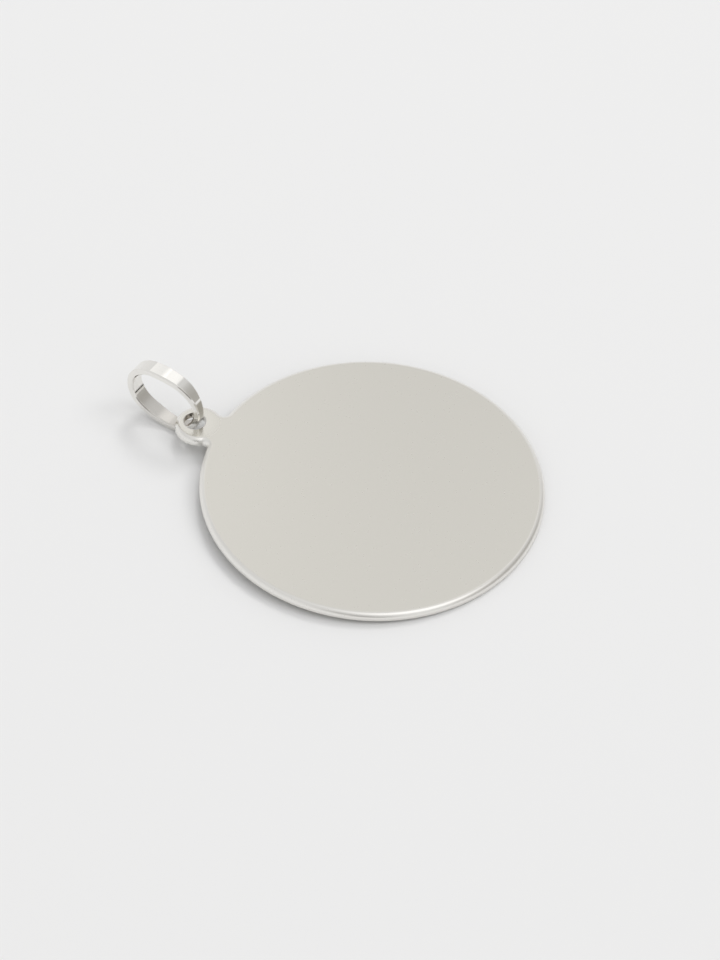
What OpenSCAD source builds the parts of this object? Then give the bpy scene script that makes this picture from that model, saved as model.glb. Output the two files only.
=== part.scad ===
// Round metal pendant blank with a drilled tab and a closed band bail, lying on a surface.
// +Z is up and +Y runs from the disc to the bail. The origin is at the middle of the
// footprint's box, on the surface that the pendant lies on. All sizes are in millimetres.

/* [Disc] */
// Diameter of the disc
disc_d = 30; // [20:0.5:45]
// Thickness of the sheet that the disc and its tab are stamped from
sheet = 0.7; // [0.6:0.05:1.4]
// Radius of the soft rounding that stamping leaves along the front edge. The back edge is square.
front_round = 0.5; // [0.2:0.05:0.5]

/* [Tab] */
// Width of the tab, which is a round ear
tab_w = 4.3; // [4:0.1:4.8]
// How far the tab stands out past the edge of the disc
tab_reach = 3.75; // [3.6:0.05:4.1]
// Radius of the inner corners where the tab meets the disc
tab_fillet = 0.45; // [0.3:0.05:0.8]
// Diameter of the hole in the tab
hole_d = 2; // [1.9:0.05:2.3]
// Metal left between the hole and the end of the tab
hole_land = 0.7; // [0.6:0.05:0.9]

/* [Bail] */
// Thickness of the band
bail_wall = 0.64; // [0.4:0.02:0.68]
// Width of the band over its outer half
bail_w = 1.5; // [1:0.05:2.4]
// Width of the band at its end in the hole
bail_hole_w = 0.8; // [0.6:0.05:0.9]
// Radius of the outer end, to the middle of the wall
bail_outer_r = 2.55; // [2.2:0.05:3]
// Radius of the two long sides, to the middle of the wall
bail_side_r = 7; // [5.5:0.1:9]

/* [Rest] */
// Rise of the bail's long axis towards its outer end, in degrees
bail_pitch = 12; // [8:1:22]
// Turn of the bail away from the line of the tab, seen from above, in degrees
bail_yaw = 9.5; // [0:0.5:14]
// Gap between the bail and the disc side of the hole
bail_hole_gap = 0.24; // [0.2:0.02:0.4]
// How far the bail sits to the right of the hole's centre, or to its left if less than 0
bail_shift = 0; // [-0.15:0.05:0.15]
// Gap between the tab and the strand of the bail that it rests on
rest_gap = 0.03; // [0.02:0.01:0.2]

/* [Hidden] */
$fn = 96;
silver = [0.84, 0.83, 0.8];
bright_silver = [0.88, 0.88, 0.86];

disc_r = disc_d / 2;
tab_r = tab_w / 2;
tab_end = disc_r + tab_reach;
tab_mid_y = tab_end - tab_r;
hole_r = hole_d / 2;
hole_y = tab_end - hole_land - hole_r;

// The concave corners reach this far into the disc and the tab, so that they cross both cleanly
corner_lap = 0.02;
fillet_to_disc = disc_r + tab_fillet - corner_lap;
fillet_to_tab = tab_r + tab_fillet - corner_lap;
fillet_y = (pow(fillet_to_disc, 2) - pow(fillet_to_tab, 2) + pow(tab_mid_y, 2)) / (2 * tab_mid_y);
fillet_x = sqrt(pow(fillet_to_disc, 2) - pow(fillet_y, 2));

// The bail's outline is a chain of arcs that meet in line. Each row is one arc of half the
// outline: its radius to the middle of the wall, and the angle of the normal where it ends.
// The last arc lies in the hole, and its radius closes the outline.
outer_end_angle = 72;
side_end_angle = 93;
bail_inner_r = bail_side_r
    + (bail_outer_r - bail_side_r) * sin(outer_end_angle) / sin(side_end_angle);
ARC_R = 0;
ARC_END = 1;
bail_arcs = [
    [bail_outer_r, outer_end_angle],
    [bail_side_r, side_end_angle],
    [bail_inner_r, 180]
];
last_arc = len(bail_arcs) - 1;
// Each long side laps this far into its neighbours, in degrees, so that the band is one solid
arc_lap = 0.5;

// Centres of the bail's arcs in its own plane, as [along, down], from the outer arc's centre
function arc_start(i) = i == 0 ? 0 : bail_arcs[i - 1][ARC_END];
function arc_centre(i) = i == 0 ? [0, 0] :
    arc_centre(i - 1)
    + (bail_arcs[i - 1][ARC_R] - bail_arcs[i][ARC_R]) * [cos(arc_start(i)), sin(arc_start(i))];
bail_end_x = arc_centre(last_arc)[0] - bail_inner_r;
bail_mid_x = (bail_outer_r + bail_end_x) / 2;
bail_half_l = (bail_outer_r - bail_end_x) / 2;

// Arc whose stretch holds a normal at this angle, counted from the outer end
function arc_at(angle, i = 0) =
    i == last_arc || angle <= bail_arcs[i][ARC_END] ? i : arc_at(angle, i + 1);
// Point of the lower half outline where the normal has this angle, at this offset from mid-wall,
// from the middle of the bail
function bail_point(angle, off) =
    let (i = arc_at(angle))
    arc_centre(i) - [bail_mid_x, 0]
    + (bail_arcs[i][ARC_R] + off) * [cos(angle), sin(angle)];
// How far the outline reaches in the direction of the normal with this angle
function bail_reach(angle, off) =
    let (p = bail_point(angle, off))
    p[0] * cos(angle) + p[1] * sin(angle);

// How the band narrows towards the hole. Each row is a place, as a share of the half length from
// the middle towards the outer end, and the share of the extra width that is left there.
TAPER_PLACE = 0;
TAPER_SHARE = 1;
bail_taper = [
    [0.15, 1],
    [-0.5, 0.65],
    [-1, 0]
];
bail_half_out = bail_half_l + bail_wall / 2;

// Where the bail rests: its lowest line is on the surface, and its inner end is in the hole
bail_z = bail_reach(90 + bail_pitch, bail_wall / 2);
bail_back_reach = bail_reach(180 - bail_pitch, bail_wall / 2);
bail_y = hole_y - hole_r + bail_hole_gap + bail_back_reach * cos(bail_yaw);
bail_x = bail_shift + bail_half_l * cos(bail_pitch) * sin(bail_yaw);

// Height of the strand's inner face under the tab, as rows of [place along the tab, height]
strand_inside = [for (angle = [60 : 2 : 176])
    let (p = bail_point(angle, -bail_wall / 2))
    [bail_y + (p[0] * cos(bail_pitch) + p[1] * sin(bail_pitch)) * cos(bail_yaw),
     bail_z + p[0] * sin(bail_pitch) - p[1] * cos(bail_pitch)]];

// The disc leans on its far rim and on the bail's strand, which lifts the tab. The turned strand
// leaves the hole off centre, so the hole's edge meets one edge of the band first.
strand_edge_x = abs(bail_shift + hole_d * sin(bail_yaw)) + bail_hole_w / 2;
hole_edge_y = hole_y + sqrt(max(0, pow(hole_r, 2) - pow(strand_edge_x, 2)));
function lean_at(y) = asin((lookup(y, strand_inside) + rest_gap) / (disc_r + y));
disc_tilt = max(lean_at(hole_edge_y), lean_at(tab_end));
disc_lift = disc_r * sin(disc_tilt);

// Middle of the whole footprint along the tab's line
far_y = -front_round - (disc_r - front_round) * cos(disc_tilt)
    - (sheet - front_round) * sin(disc_tilt);
near_y = bail_y + bail_reach(bail_pitch, bail_wall / 2) * cos(bail_yaw)
    + bail_w / 2 * sin(bail_yaw);
mid_y = (far_y + near_y) / 2;

// Outline of half a section through the sheet, from its middle to an edge at this distance
module sheet_half(edge) {
    intersection() {
        square([edge, sheet]);
        union() {
            square([edge - front_round, sheet]);
            square([edge, sheet - front_round]);
            translate([edge - front_round, sheet - front_round]) circle(front_round);
        }
    }
}

// Round plate with the sheet's rounded front edge
module plate(radius) {
    rotate_extrude() sheet_half(radius);
}

// Waist that joins the tab to the disc, between two concave corners with the same rounded edge
module waist() {
    centre = [fillet_x, fillet_y];
    reach = tab_fillet + front_round;
    on_disc = centre * (1 - reach / fillet_to_disc);
    on_tab = centre + ([0, tab_mid_y] - centre) * reach / fillet_to_tab;
    difference() {
        linear_extrude(sheet) polygon([
            centre,
            on_tab,
            [-on_tab[0], on_tab[1]],
            [-fillet_x, fillet_y],
            [-on_disc[0], on_disc[1]],
            on_disc
        ]);
        for (side = [0, 1]) mirror([side, 0, 0])
            translate([fillet_x, fillet_y, 0]) rotate_extrude() corner_cut();
    }
}

// Section of the round cutter that leaves a concave corner's rounded edge
module corner_cut() {
    difference() {
        translate([0, -sheet]) square([tab_fillet + front_round, 3 * sheet]);
        translate([tab_fillet, 0]) square([2 * front_round, sheet - front_round]);
        translate([tab_fillet + front_round, sheet - front_round]) circle(front_round);
    }
}

module disc() {
    color(silver)
        translate([0, -mid_y, disc_lift]) rotate([disc_tilt, 0, 0]) difference() {
            union() {
                plate(disc_r);
                translate([0, tab_mid_y, 0]) plate(tab_r);
                waist();
            }
            translate([0, hole_y, -sheet]) cylinder(h = 3 * sheet, r = hole_r);
        }
}

// One stretch of the band, between the normals at two angles
module band_arc(i, from, to) {
    c = arc_centre(i);
    translate([c[0] - bail_mid_x, c[1], 0]) rotate([0, 0, from])
        rotate_extrude(angle = to - from)
            translate([bail_arcs[i][ARC_R] - bail_wall / 2, -bail_w / 2]) square([bail_wall, bail_w]);
}

// The closed band at its full width, in its own plane with its outer end along +X
module full_band() {
    band_arc(0, -outer_end_angle, outer_end_angle);
    for (side = [0, 1]) mirror([0, side, 0])
        band_arc(1, outer_end_angle - arc_lap, side_end_angle + arc_lap);
    band_arc(last_arc, side_end_angle, 360 - side_end_angle);
}

// What is cut from one face of the band, so that it narrows towards the hole
module taper_cut() {
    depth = 3 * bail_side_r;
    rotate([90, 0, 0]) translate([0, 0, -depth / 2]) linear_extrude(depth) polygon(concat(
        [for (row = bail_taper)
            [row[TAPER_PLACE] * bail_half_out,
             (bail_hole_w + row[TAPER_SHARE] * (bail_w - bail_hole_w)) / 2]],
        [[-bail_half_out, bail_w], [bail_taper[0][TAPER_PLACE] * bail_half_out, bail_w]]
    ));
}

module bail() {
    color(bright_silver)
        translate([bail_x, bail_y - mid_y, bail_z])
            rotate([0, 0, -bail_yaw]) rotate([bail_pitch, 0, 0]) rotate([90, 0, 90])
                difference() {
                    full_band();
                    for (face = [0, 1]) mirror([0, 0, face]) taper_cut();
                }
}

disc();
bail();
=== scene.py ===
"""Round silver pendant blank with a closed band bail, lying on a pale surface."""

import math

import bmesh
import bpy
from mathutils import Matrix, Vector


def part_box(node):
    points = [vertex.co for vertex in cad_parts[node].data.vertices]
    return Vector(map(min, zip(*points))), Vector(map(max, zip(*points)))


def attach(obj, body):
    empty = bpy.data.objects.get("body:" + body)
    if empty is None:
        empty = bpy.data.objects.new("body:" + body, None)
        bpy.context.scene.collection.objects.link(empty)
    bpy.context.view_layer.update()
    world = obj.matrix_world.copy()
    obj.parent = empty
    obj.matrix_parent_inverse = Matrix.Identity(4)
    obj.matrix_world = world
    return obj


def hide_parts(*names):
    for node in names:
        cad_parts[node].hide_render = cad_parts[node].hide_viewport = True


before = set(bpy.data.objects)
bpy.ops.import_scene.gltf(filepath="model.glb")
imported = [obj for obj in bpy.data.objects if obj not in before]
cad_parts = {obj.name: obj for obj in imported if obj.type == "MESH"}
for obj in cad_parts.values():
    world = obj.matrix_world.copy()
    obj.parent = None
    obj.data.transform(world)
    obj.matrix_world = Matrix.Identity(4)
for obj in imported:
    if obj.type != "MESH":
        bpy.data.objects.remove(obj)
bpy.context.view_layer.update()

MM = 0.001

# Disc and tab, in millimetres
DISC_R = 15.0
SHEET = 0.7
FRONT_ROUND = 0.5
BACK_BREAK = 0.03
TAB_R = 2.15
TAB_END = 18.75
FILLET = 0.45
HOLE_R = 1.0
HOLE_LAND = 0.7
HOLE_BREAK = 0.05
DISC_POINTS = 384
CORNER_POINTS = 18
TAB_POINTS = 108
HOLE_POINTS = 72
# Steps round the front and the back of each edge
FRONT_STEPS = 12
BACK_STEPS = 6

# Bail, in millimetres and degrees
WALL = 0.64
BAND_W = 1.5
BAND_HOLE_W = 0.8
OUTER_R = 2.55
SIDE_R = 7.0
OUTER_END = 72.0
SIDE_END = 93.0
BAND_EDGE = 0.13
PITCH = 12.0
YAW = 9.5
# How the band narrows towards the hole: (place along the half length, share of the extra width)
TAPER = ((0.15, 1.0), (-0.5, 0.65), (-1.0, 0.0))
BAIL_RINGS = 288
ANGLES = [360 * k / BAIL_RINGS for k in range(BAIL_RINGS)]
# Angle where painted shade and dulling begin on the inside of the lower strand, and how many
# degrees before it the strand is fully shaded and dull
SHADE_DULL_FROM = 325
SHADE_DULL_SPAN = 90

# Metals
SATIN = (0.725, 0.705, 0.65)
POLISHED = (0.88, 0.865, 0.83)
# Darker, greyer tone painted on the inside of the lower strand towards the hole: painted shade
PAINTED_SHADE_TONE = (0.56, 0.53, 0.49)
SATIN_ROUGH = 0.28
HOLE_ROUGH = 0.13
SPECKLE = 0.03
SPECKLE_SCALE = 4000
SPECKLE_DETAIL = 3
POLISHED_ROUGH = 0.08
DULLED_ROUGH = 0.25
# Distances in millimetres from the hole's centre where its polish begins and is full
POLISH_BEGINS = 2.4
POLISH_FULL = 1.1
# The edge fully takes the brighter tone, partly its polish and partly painted sheen, once its
# normal points outward by one part in this many
RIM_GAIN = 3


def sin_d(angle):
    return math.sin(math.radians(angle))


def cos_d(angle):
    return math.cos(math.radians(angle))


# Where the frame holds the disc: its lean and lift are read off its box
_, disc_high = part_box("disc")
TAB_MID_Y = TAB_END - TAB_R
HOLE_Y = TAB_END - HOLE_LAND - HOLE_R
LEAN = math.degrees(math.asin((disc_high.z / MM - SHEET) / (DISC_R + TAB_END - FRONT_ROUND)))
LIFT = DISC_R * sin_d(LEAN)
MID_Y = TAB_END * cos_d(LEAN) - disc_high.y / MM
disc_place = Matrix.Translation((0, -MID_Y * MM, LIFT * MM)) @ Matrix.Rotation(
    math.radians(LEAN), 4, "X"
)

# Outline of the bail: a chain of arcs that meet in line, as (radius, angle where it ends)
INNER_R = SIDE_R + (OUTER_R - SIDE_R) * sin_d(OUTER_END) / sin_d(SIDE_END)
ARCS = ((OUTER_R, OUTER_END), (SIDE_R, SIDE_END), (INNER_R, 180.0))


def arc_centres():
    centres = [Vector((0, 0))]
    for (r0, end), (r1, _) in zip(ARCS, ARCS[1:]):
        centres.append(centres[-1] + (r0 - r1) * Vector((cos_d(end), sin_d(end))))
    return centres


CENTRES = arc_centres()
END_X = CENTRES[-1].x - INNER_R
MID_X = (OUTER_R + END_X) / 2
HALF_OUT = (OUTER_R - END_X) / 2 + WALL / 2


def bail_point(angle, off):
    """Point of the bail's outline where its normal has this angle, off the middle of the wall."""
    a = abs((angle + 180) % 360 - 180)
    side = -1 if (angle % 360) > 180 else 1
    i = next(i for i, (_, end) in enumerate(ARCS) if a <= end + 1e-9)
    r = ARCS[i][0] + off
    x = CENTRES[i].x - MID_X + r * cos_d(a)
    y = CENTRES[i].y + r * sin_d(a)
    return x, side * y


def bail_reach(angle):
    x, y = bail_point(angle, WALL / 2)
    return x * cos_d(angle) + y * sin_d(angle)


# Where the frame holds the bail, read off its box
bail_low, bail_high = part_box("bail")
outward = bail_reach(PITCH)
bail_centre = Vector(
    (
        bail_high.x / MM - outward * sin_d(YAW) - BAND_W / 2 * cos_d(YAW),
        bail_high.y / MM - outward * cos_d(YAW) - BAND_W / 2 * sin_d(YAW),
        bail_low.z / MM + bail_reach(90 + PITCH),
    )
)
bail_place = (
    Matrix.Translation(bail_centre * MM)
    @ Matrix.Rotation(math.radians(-YAW), 4, "Z")
    @ Matrix.Rotation(math.radians(PITCH), 4, "X")
    @ Matrix.Rotation(math.radians(90), 4, "Z")
    @ Matrix.Rotation(math.radians(90), 4, "X")
)


# How the disc's face stands in the photograph, in degrees and pixels
FACE_ELEVATION = 48.9
FACE_ROLL = 2.96
FACE_X, FACE_Y = 372.37, 484.73
PX_PER_MM = 11.533
PICTURE_W, PICTURE_H = 720, 960
# The lean is off the line of sight by this angle, and each degree of it rolls the face this much
LEAN_OFF_SIGHT = 24
ROLL_PER_LEAN = 1.414

# Camera, at the photograph's angle above the surface
AZIMUTH = -65.9
ELEVATION = FACE_ELEVATION - LEAN * cos_d(LEAN_OFF_SIGHT)
ROLL = FACE_ROLL - ROLL_PER_LEAN * LEAN
DISTANCE = 450.0
SENSOR_W = 36
CLIP_START = 0.01


def add_camera():
    look = Vector(
        (
            cos_d(ELEVATION) * cos_d(90 + AZIMUTH),
            cos_d(ELEVATION) * sin_d(90 + AZIMUTH),
            -sin_d(ELEVATION),
        )
    )
    level = Vector((cos_d(AZIMUTH), sin_d(AZIMUTH), 0))
    up = level.cross(look)
    right_r = cos_d(ROLL) * level - sin_d(ROLL) * up
    up_r = sin_d(ROLL) * level + cos_d(ROLL) * up
    face = disc_place @ Vector((0, 0, SHEET * MM))
    eye = (
        face
        - look * DISTANCE * MM
        - right_r * ((FACE_X - PICTURE_W / 2) / PX_PER_MM * MM)
        + up_r * ((FACE_Y - PICTURE_H / 2) / PX_PER_MM * MM)
    )
    data = bpy.data.cameras.new("camera")
    data.sensor_fit = "HORIZONTAL"
    data.sensor_width = SENSOR_W
    data.lens = PX_PER_MM * DISTANCE * SENSOR_W / PICTURE_W
    data.clip_start = CLIP_START
    camera = bpy.data.objects.new("camera", data)
    bpy.context.scene.collection.objects.link(camera)
    turn = Matrix((right_r, up_r, -look)).transposed().to_4x4()
    camera.matrix_world = Matrix.Translation(eye) @ turn
    bpy.context.scene.camera = camera


add_camera()


def arc_points(cx, cy, r, start, end, count, inward=False):
    """Points of an arc without its last, as (x, y, normal x, normal y)."""
    sign = -1 if inward else 1
    rows = []
    for k in range(count):
        a = start + (end - start) * k / count
        nx, ny = cos_d(a), sin_d(a)
        rows.append((cx + r * nx, cy + r * ny, sign * nx, sign * ny))
    return rows


def disc_outline():
    """Outline of the disc with its tab, counter-clockwise, with its outward normals."""
    to_disc, to_tab = DISC_R + FILLET, TAB_R + FILLET
    fy = (to_disc**2 - to_tab**2 + TAB_MID_Y**2) / (2 * TAB_MID_Y)
    fx = math.sqrt(to_disc**2 - fy**2)
    off_disc = math.degrees(math.atan2(fy, fx))
    off_tab = math.degrees(math.atan2(fy - TAB_MID_Y, fx))
    rows = arc_points(0, 0, DISC_R, 180 - off_disc, 360 + off_disc, DISC_POINTS)
    rows += arc_points(
        fx, fy, FILLET, 180 + off_disc, 180 + off_tab, CORNER_POINTS, inward=True
    )
    rows += arc_points(0, TAB_MID_Y, TAB_R, off_tab, 180 - off_tab, TAB_POINTS)
    rows += arc_points(-fx, fy, FILLET, -off_tab, -off_disc, CORNER_POINTS, inward=True)
    return rows


def edge_rows(front, back):
    """Rows down an edge rounded by these radii: (depth inward, height, normal out, normal up)."""
    rows = []
    for k in range(FRONT_STEPS + 1):
        a = 90 - 90 * k / FRONT_STEPS
        height = SHEET - front + front * sin_d(a)
        rows.append((front * (1 - cos_d(a)), height, cos_d(a), sin_d(a)))
    for k in range(BACK_STEPS + 1):
        a = -90 * k / BACK_STEPS
        rows.append((back * (1 - cos_d(a)), back + back * sin_d(a), cos_d(a), sin_d(a)))
    return rows


def finish_mesh(bm, normals, name, place):
    """Makes an object of the mesh, with the normals given for its vertices in order."""
    mesh = bpy.data.meshes.new(name)
    bm.to_mesh(mesh)
    bm.free()
    mesh.transform(place)
    for polygon in mesh.polygons:
        polygon.use_smooth = True
    turn = place.to_3x3()
    mesh.normals_split_custom_set_from_vertices([(turn @ n).normalized() for n in normals])
    obj = bpy.data.objects.new(name, mesh)
    bpy.context.scene.collection.objects.link(obj)
    return obj


def add_shares(obj, name, shares):
    """Gives each vertex a number from 0 to 1 for the material to read."""
    attribute = obj.data.attributes.new(name, "FLOAT", "POINT")
    attribute.data.foreach_set("value", shares)


def strip(bm, loop_a, loop_b):
    """Quads between two closed loops of vertices."""
    n = len(loop_a)
    for k in range(n):
        bm.faces.new((loop_a[k], loop_b[k], loop_b[(k + 1) % n], loop_a[(k + 1) % n]))


def fill_face(bm, outer, inner, up):
    """Flat face between two closed loops of vertices."""
    edges = []
    for loop in (outer, inner):
        for k in range(len(loop)):
            pair = (loop[k], loop[(k + 1) % len(loop)])
            edges.append(bm.edges.get(pair) or bm.edges.new(pair))
    made = bmesh.ops.triangle_fill(bm, use_beauty=True, edges=edges, normal=(0, 0, up))
    faces = [f for f in made["geom"] if isinstance(f, bmesh.types.BMFace)]
    for face in faces:
        if face.normal.z * up < 0:
            face.normal_flip()


def build_disc():
    bm = bmesh.new()
    normals = []
    shares = []

    def edge_loops(outline, front, back):
        """Loops of vertices down an edge, from the front of the sheet to its back."""
        loops = []
        for depth, z, out, up in edge_rows(front, back):
            loop = []
            for x, y, nx, ny in outline:
                normals.append(Vector((nx * out, ny * out, up)))
                # Share of the brighter edge tone: polish, partly painted sheen
                shares.append(min(1.0, RIM_GAIN * math.hypot(nx * out, ny * out)))
                loop.append(bm.verts.new(((x - nx * depth) * MM, (y - ny * depth) * MM, z * MM)))
            loops.append(loop)
        return loops

    rim = edge_loops(disc_outline(), FRONT_ROUND, BACK_BREAK)
    for a, b in zip(rim, rim[1:]):
        strip(bm, a, b)
    hole_outline = arc_points(0, HOLE_Y, HOLE_R, 0, 360, HOLE_POINTS, inward=True)
    hole = edge_loops(hole_outline, HOLE_BREAK, HOLE_BREAK)
    for a, b in zip(hole, hole[1:]):
        strip(bm, b, a)
    fill_face(bm, rim[0], hole[0], 1)
    fill_face(bm, rim[-1], hole[-1], -1)
    obj = finish_mesh(bm, normals, "disc_polished", disc_place)
    add_shares(obj, "rim", shares)
    return obj


def band_half(x):
    """Half the band's width at this place along the bail."""
    place = x / HALF_OUT
    if place >= TAPER[0][0]:
        share = TAPER[0][1]
    else:
        share = TAPER[-1][1]
        for (p0, s0), (p1, s1) in zip(TAPER, TAPER[1:]):
            if p1 <= place <= p0:
                share = s1 + (s0 - s1) * (place - p1) / (p0 - p1)
    return (BAND_HOLE_W + share * (BAND_W - BAND_HOLE_W)) / 2


def band_section():
    """Section of the band with its four bevelled edges.

    Each row is (side of the wall, side of the band, share of the bevel out, share along, normal
    out, normal along).
    """
    corners = ((1, 1, 0), (-1, 1, 90), (-1, -1, 180), (1, -1, 270))
    # How far across the bevel each point is, and how far its normal has turned
    steps = ((0, 0), (0.2, 45), (0.8, 45), (1, 90))
    rows = []
    for sx, sz, start in corners:
        for share, turn in steps:
            ex = (1 - share) * cos_d(start) + share * cos_d(start + 90)
            ez = (1 - share) * sin_d(start) + share * sin_d(start + 90)
            rows.append((sx, sz, ex, ez, cos_d(start + turn), sin_d(start + turn)))
    return rows


def build_bail():
    bm = bmesh.new()
    section = band_section()
    points = []
    for angle in ANGLES:
        ring = []
        for sx, sz, ex, ez, _, _ in section:
            off = sx * (WALL / 2 - BAND_EDGE) + ex * BAND_EDGE
            x, y = bail_point(angle, off)
            z = sz * (band_half(x) - BAND_EDGE) + ez * BAND_EDGE
            ring.append(Vector((x, y, z)))
        points.append(ring)
    normals = []
    shares = []
    rings = []
    for k, angle in enumerate(ANGLES):
        before, after = points[k - 1], points[(k + 1) % BAIL_RINGS]
        out = Vector((cos_d(angle), sin_d(angle), 0))
        # Share of painted shade, with more roughness, on the inside of the lower strand, rising
        # towards the hole
        shade_and_dull = min(max((SHADE_DULL_FROM - angle) / SHADE_DULL_SPAN, 0), 1) if angle > 180 else 0
        loop = []
        for j, (*_, nx, nz) in enumerate(section):
            along = after[j] - before[j]
            across = out * -nz + Vector((0, 0, nx))
            normal = along.cross(across)
            if normal.dot(out * nx + Vector((0, 0, nz))) < 0:
                normal.negate()
            normals.append(normal)
            shares.append(shade_and_dull * max(0.0, -nx))
            loop.append(bm.verts.new(points[k][j] * MM))
        rings.append(loop)
    for k in range(BAIL_RINGS):
        strip(bm, rings[k], rings[(k + 1) % BAIL_RINGS])
    obj = finish_mesh(bm, normals, "bail_polished", bail_place)
    # Share of painted shade and dulling on the inside of the lower strand
    add_shares(obj, "inside_shade", shares)
    return obj


disc = build_disc()
bail = build_bail()
for piece, node in ((disc, "disc"), (bail, "bail")):
    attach(piece, "root")
    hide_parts(node)


def new_material(name):
    material = bpy.data.materials.new(name)
    material.use_nodes = True
    return material, material.node_tree, material.node_tree.nodes["Principled BSDF"]


def attribute_node(tree, name):
    node = tree.nodes.new("ShaderNodeAttribute")
    node.attribute_name = name
    return node.outputs["Fac"]


def math_node(tree, operation, *values):
    """Math node whose inputs are numbers or the outputs of other nodes."""
    node = tree.nodes.new("ShaderNodeMath")
    node.operation = operation
    for socket, value in zip(node.inputs, values):
        if isinstance(value, (int, float)):
            socket.default_value = value
        else:
            tree.links.new(value, socket)
    return node.outputs[0]


def map_range(tree, value, start, end, low=0.0, high=1.0, smooth=False):
    node = tree.nodes.new("ShaderNodeMapRange")
    node.interpolation_type = "SMOOTHSTEP" if smooth else "LINEAR"
    tree.links.new(value, node.inputs["Value"])
    node.inputs["From Min"].default_value = start
    node.inputs["From Max"].default_value = end
    node.inputs["To Min"].default_value = low
    node.inputs["To Max"].default_value = high
    return node.outputs["Result"]


def mix_colors(tree, share, first, second):
    node = tree.nodes.new("ShaderNodeMix")
    node.data_type = "RGBA"
    tree.links.new(share, node.inputs["Factor"])
    # The node has sockets of the same name for every data type, and only these hold colours
    color_a, color_b, result = node.inputs[6], node.inputs[7], node.outputs[2]
    color_a.default_value = (*first, 1)
    color_b.default_value = (*second, 1)
    return result


def satin_silver():
    """Satin silver with a brighter rim, partly polish and partly painted sheen, and a polish round
    the hole.
    """
    material, tree, shader = new_material("satin_silver")
    shader.inputs["Metallic"].default_value = 1
    # The rim share brightens the edge tone: partly its polish, partly painted sheen
    tone = mix_colors(tree, attribute_node(tree, "rim"), SATIN, POLISHED)
    tree.links.new(tone, shader.inputs["Base Color"])

    # Place on the disc, in its own axes
    coord = tree.nodes.new("ShaderNodeTexCoord")
    place = tree.nodes.new("ShaderNodeMapping")
    place.vector_type = "TEXTURE"
    place.inputs["Location"].default_value = disc_place.to_translation()
    place.inputs["Rotation"].default_value = (math.radians(LEAN), 0, 0)
    tree.links.new(coord.outputs["Object"], place.inputs["Vector"])
    axes = tree.nodes.new("ShaderNodeSeparateXYZ")
    tree.links.new(place.outputs["Vector"], axes.inputs[0])
    across = axes.outputs["X"]
    along = math_node(tree, "SUBTRACT", axes.outputs["Y"], HOLE_Y * MM)
    squares = math_node(
        tree,
        "ADD",
        math_node(tree, "MULTIPLY", across, across),
        math_node(tree, "MULTIPLY", along, along),
    )
    from_hole = math_node(tree, "SQRT", squares)

    polish = map_range(tree, from_hole, POLISH_BEGINS * MM, POLISH_FULL * MM, smooth=True)
    rough = map_range(tree, polish, 0, 1, SATIN_ROUGH, HOLE_ROUGH)
    grain = tree.nodes.new("ShaderNodeTexNoise")
    grain.inputs["Scale"].default_value = SPECKLE_SCALE
    grain.inputs["Detail"].default_value = SPECKLE_DETAIL
    tree.links.new(place.outputs["Vector"], grain.inputs["Vector"])
    centred = math_node(tree, "SUBTRACT", grain.outputs["Fac"], 0.5)
    speckle = math_node(tree, "MULTIPLY", centred, SPECKLE)
    tree.links.new(math_node(tree, "ADD", rough, speckle), shader.inputs["Roughness"])
    return material


def polished_silver():
    """Mirror polish with painted shade: darker, greyer and rougher on the bottom strand's inner
    face towards the hole.
    """
    material, tree, shader = new_material("polished_silver")
    shader.inputs["Metallic"].default_value = 1
    inside_shade = attribute_node(tree, "inside_shade")
    # Painted shade: the tone goes darker and greyer where the share rises
    tone = mix_colors(tree, inside_shade, POLISHED, PAINTED_SHADE_TONE)
    tree.links.new(tone, shader.inputs["Base Color"])
    rough = map_range(tree, inside_shade, 0, 1, POLISHED_ROUGH, DULLED_ROUGH)
    tree.links.new(rough, shader.inputs["Roughness"])
    return material


disc.data.materials.append(satin_silver())
bail.data.materials.append(polished_silver())


# Floor, with half its side in metres
FLOOR_HALF = 3.0
FLOOR_TONE = 0.845
FLOOR_ROUGH = 0.8
FLOOR_SPECULAR = 0.1


def add_floor():
    mesh = bpy.data.meshes.new("floor")
    s = FLOOR_HALF
    mesh.from_pydata([(-s, -s, 0), (s, -s, 0), (s, s, 0), (-s, s, 0)], [], [(0, 1, 2, 3)])
    floor = bpy.data.objects.new("floor", mesh)
    bpy.context.scene.collection.objects.link(floor)
    material, _, shader = new_material("floor")
    shader.inputs["Base Color"].default_value = (FLOOR_TONE, FLOOR_TONE, FLOOR_TONE, 1)
    shader.inputs["Roughness"].default_value = FLOOR_ROUGH
    shader.inputs["Specular IOR Level"].default_value = FLOOR_SPECULAR
    mesh.materials.append(material)


def direction(azimuth, elevation):
    return Vector(
        (
            cos_d(elevation) * cos_d(azimuth),
            cos_d(elevation) * sin_d(azimuth),
            sin_d(elevation),
        )
    )


# Square lamps aimed at the origin: (name, azimuth, elevation, distance, size, power, whether the
# metal mirrors it). The world holds what the metal mirrors of the first two.
LAMPS = (
    ("key", 10, 52, 1.6, 0.4, 4.0, False),
    ("side", -66, 50, 1.6, 0.6, 2.6, False),
    ("card", 40, 46, 0.2, 0.08, 0.005, True),
)


def add_lamp(name, azimuth, elevation, distance, size, power, mirrored):
    data = bpy.data.lights.new(name, "AREA")
    data.shape = "RECTANGLE"
    data.size = data.size_y = size
    data.energy = power
    light = bpy.data.objects.new(name, data)
    bpy.context.scene.collection.objects.link(light)
    light.location = direction(azimuth, elevation) * distance
    light.rotation_euler = (-light.location).to_track_quat("-Z", "Y").to_euler()
    light.visible_glossy = mirrored


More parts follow.
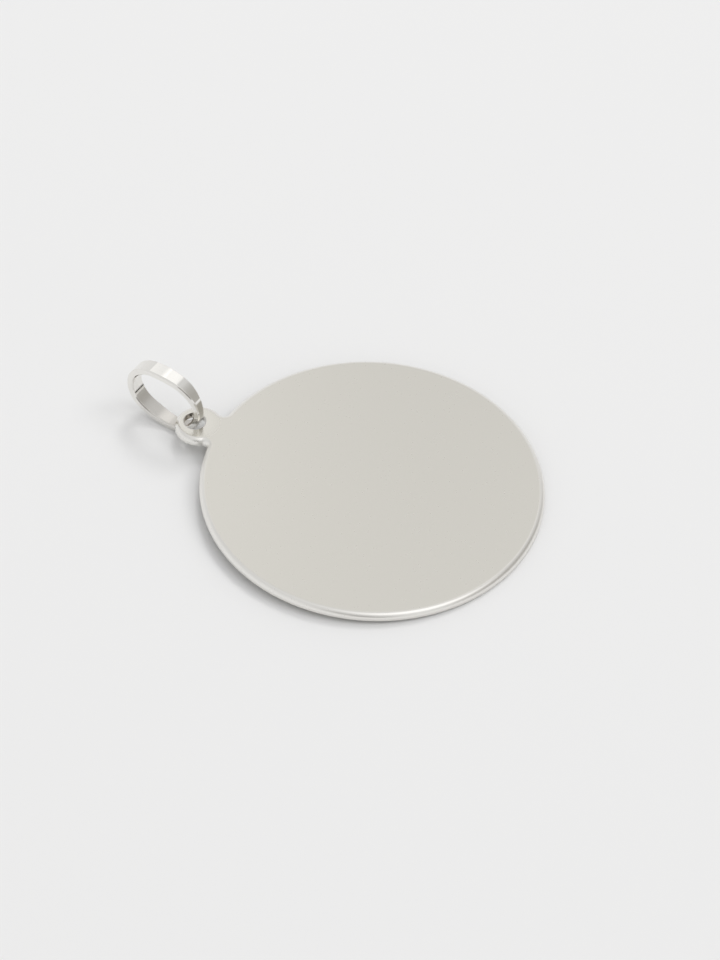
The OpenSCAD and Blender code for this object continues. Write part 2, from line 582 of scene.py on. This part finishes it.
# Levels of the studio by height: (sine of the elevation, level). Below the horizon it stays at the
# first.
LEVELS = ((0.0, 0.84), (0.5, 0.8), (0.73, 0.69), (0.87, 0.72), (1.0, 0.78))
# Soft areas of the studio: (azimuth, elevation, inner and outer radius in degrees, change of
# colour)
SOFT_AREAS = (
    (-65, 2, 8, 60, (-0.38, -0.39, -0.41)),
    (4, 54, 2, 14, (0.4, 0.4, 0.4)),
    (-103, 60, 12, 32, (0.55, 0.55, 0.55)),
    (-170, 27, 4, 15, (-0.42, -0.43, -0.44)),
    (-153, 10, 5, 18, (-0.5, -0.51, -0.52)),
)


def add_world():
    world = bpy.data.worlds.new("studio")
    bpy.context.scene.world = world
    world.use_nodes = True
    tree = world.node_tree
    coord = tree.nodes.new("ShaderNodeTexCoord")
    axes = tree.nodes.new("ShaderNodeSeparateXYZ")
    ramp = tree.nodes.new("ShaderNodeValToRGB")
    tree.links.new(coord.outputs["Generated"], axes.inputs[0])
    tree.links.new(axes.outputs["Z"], ramp.inputs["Fac"])
    elements = ramp.color_ramp.elements
    elements[0].position, elements[-1].position = LEVELS[0][0], LEVELS[-1][0]
    for position, _ in LEVELS[1:-1]:
        elements.new(position)
    for element, (_, level) in zip(elements, LEVELS):
        element.color = (level, level, level, 1)
    color = ramp.outputs["Color"]
    for azimuth, elevation, inner, outer, change in SOFT_AREAS:
        dot = tree.nodes.new("ShaderNodeVectorMath")
        dot.operation = "DOT_PRODUCT"
        tree.links.new(coord.outputs["Generated"], dot.inputs[0])
        dot.inputs[1].default_value = direction(azimuth, elevation)
        nearness = dot.outputs["Value"]
        share = map_range(tree, nearness, cos_d(outer), cos_d(inner), smooth=True)
        add = tree.nodes.new("ShaderNodeVectorMath")
        add.operation = "MULTIPLY_ADD"
        tree.links.new(share, add.inputs[0])
        add.inputs[1].default_value = change
        tree.links.new(color, add.inputs[2])
        color = add.outputs["Vector"]
    background = tree.nodes["Background"]
    tree.links.new(color, background.inputs["Color"])
    background.inputs["Strength"].default_value = 1.0


add_floor()
add_world()
for lamp in LAMPS:
    add_lamp(*lamp)
bpy.context.scene.view_settings.view_transform = "Standard"

bpy.context.view_layer.update()
